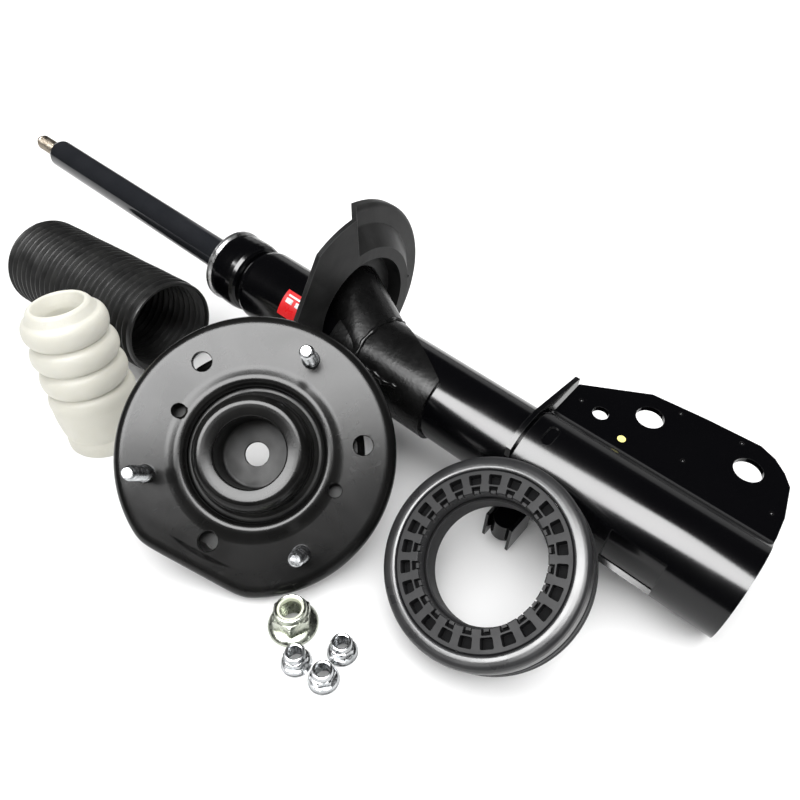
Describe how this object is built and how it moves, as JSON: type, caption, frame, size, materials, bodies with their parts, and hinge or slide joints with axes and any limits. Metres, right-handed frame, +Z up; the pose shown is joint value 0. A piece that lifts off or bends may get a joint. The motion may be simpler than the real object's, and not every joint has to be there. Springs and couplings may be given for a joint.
{
  "type": "suspension strut kit",
  "caption": "Front suspension strut kit laid out flat: damper strut with spring seat and knuckle bracket, studded top mount, bearing ring, ribbed boot, bump stop, flange nuts.",
  "frame": {"origin": "middle of the whole laid-out set, on the floor", "axes": "+X along the strut on the floor, from the rod tip to the knuckle bracket; +Z up"},
  "size_m": [0.626, 0.2552, 0.136],
  "materials": {
    "black_paint": "glossy black paint",
    "bright_zinc": "bright zinc plate",
    "inner_steel": "drawn steel tube",
    "sintered_iron": "sintered iron",
    "seal_rubber": "matte rubber",
    "band_plastic": "bronze-filled plastic",
    "rod_chrome": "dark hard-chromed rod",
    "rim_steel": "bare rolled edge",
    "label_film": "red film label",
    "yellow_paint": "daub of yellow paint",
    "mount_paint": "satin dark grey e-coat",
    "mount_rubber": "matte moulded rubber",
    "bearing_plastic": "satin grey plastic",
    "race_steel": "ground steel",
    "cage_plastic": "natural plastic",
    "boot_rubber": "black moulded rubber",
    "stop_foam": "cream polyurethane foam",
    "nut_insert": "nylon"
  },
  "bodies": {
    "strut_housing": {"outer_tube": "black_paint", "base_cap": "black_paint", "pressure_tube": "inner_steel", "base_valve": "sintered_iron", "rod_guide": "sintered_iron", "oil_seal": "seal_rubber", "top_cap": "black_paint", "top_cap_rim": "rim_steel", "spring_seat": "black_paint", "seat_gusset": "black_paint", "knuckle_bracket": "black_paint", "bracket_flange": "black_paint", "hose_bracket": "black_paint", "label": "label_film", "paint_mark": "yellow_paint"},
    "piston_ring": {"piston_band": "band_plastic"},
    "rod": {"piston_rod": "rod_chrome", "rod_tip": "rod_chrome", "piston": "sintered_iron", "valve_shims": "race_steel", "piston_nut": "bright_zinc", "rebound_stop": "inner_steel"},
    "top_mount": {"mount_plate": "mount_paint", "mount_dome": "mount_paint", "mount_rubber": "mount_rubber", "mount_isolator": "mount_rubber", "mount_neck": "mount_rubber", "mount_shell": "mount_paint", "mount_boss": "mount_paint", "mount_studs": "bright_zinc"},
    "bearing_lower": {"bearing_base": "bearing_plastic", "bearing_lower_race": "race_steel", "bearing_seal": "seal_rubber"},
    "bearing_upper": {"bearing_case": "bearing_plastic", "bearing_upper_race": "race_steel"},
    "ball_set": {"bearing_balls": "race_steel", "bearing_cage": "cage_plastic"},
    "boot": {"dust_boot": "boot_rubber"},
    "stop": {"bump_stop": "stop_foam"},
    "large_nut": {"rod_nut": "bright_zinc", "rod_nut_insert": "nut_insert"},
    "small_nut_1": {"stud_nut_1": "bright_zinc"},
    "small_nut_2": {"stud_nut_2": "bright_zinc"},
    "small_nut_3": {"stud_nut_3": "bright_zinc"}
  },
  "joints": [
    {"name": "rod_slide", "type": "slide", "parent": "strut_housing", "child": "piston_ring", "axis": [-0.9954, 0, 0.0955], "range_m": [-0.17, 0], "stiffness_N_per_m": 40, "springref_m": 0.5},
    {"name": "rod_turn", "type": "hinge", "parent": "piston_ring", "child": "rod", "pos_m": [0.01489, 0.04612, 0.0558], "axis": [-0.9954, 0, 0.0955], "continuous": true},
    {"name": "mount_lift", "type": "slide", "parent": "strut_housing", "child": "top_mount", "axis": [0, 0, 1], "range_m": [0, 0.2]},
    {"name": "bearing_lift", "type": "slide", "parent": "strut_housing", "child": "bearing_lower", "axis": [0, 0, 1], "range_m": [0, 0.15]},
    {"name": "bearing_turn", "type": "hinge", "parent": "bearing_lower", "child": "bearing_upper", "pos_m": [0.20862, -0.03118, 0.04415], "axis": [-0.074, -0.5231, 0.8491], "continuous": true},
    {"name": "ball_turn", "type": "hinge", "parent": "bearing_lower", "child": "ball_set", "pos_m": [0.20862, -0.03118, 0.04415], "axis": [-0.074, -0.5231, 0.8491], "continuous": true},
    {"name": "boot_lift", "type": "slide", "parent": "strut_housing", "child": "boot", "axis": [0, 0, 1], "range_m": [0, 0.18]},
    {"name": "stop_lift", "type": "slide", "parent": "strut_housing", "child": "stop", "axis": [0, 0, 1], "range_m": [0, 0.18]},
    {"name": "large_nut_lift", "type": "slide", "parent": "strut_housing", "child": "large_nut", "axis": [0, 0, 1], "range_m": [0, 0.02]},
    {"name": "small_nut_lift_1", "type": "slide", "parent": "strut_housing", "child": "small_nut_1", "axis": [0, 0, 1], "range_m": [0, 0.06]},
    {"name": "small_nut_lift_2", "type": "slide", "parent": "strut_housing", "child": "small_nut_2", "axis": [0, 0, 1], "range_m": [0, 0.06]},
    {"name": "small_nut_lift_3", "type": "slide", "parent": "strut_housing", "child": "small_nut_3", "axis": [0, 0, 1], "range_m": [0, 0.06]}
  ],
  "couplings": [
    {"joint": "ball_turn", "follows": "bearing_turn", "ratio": 0.5}
  ]
}
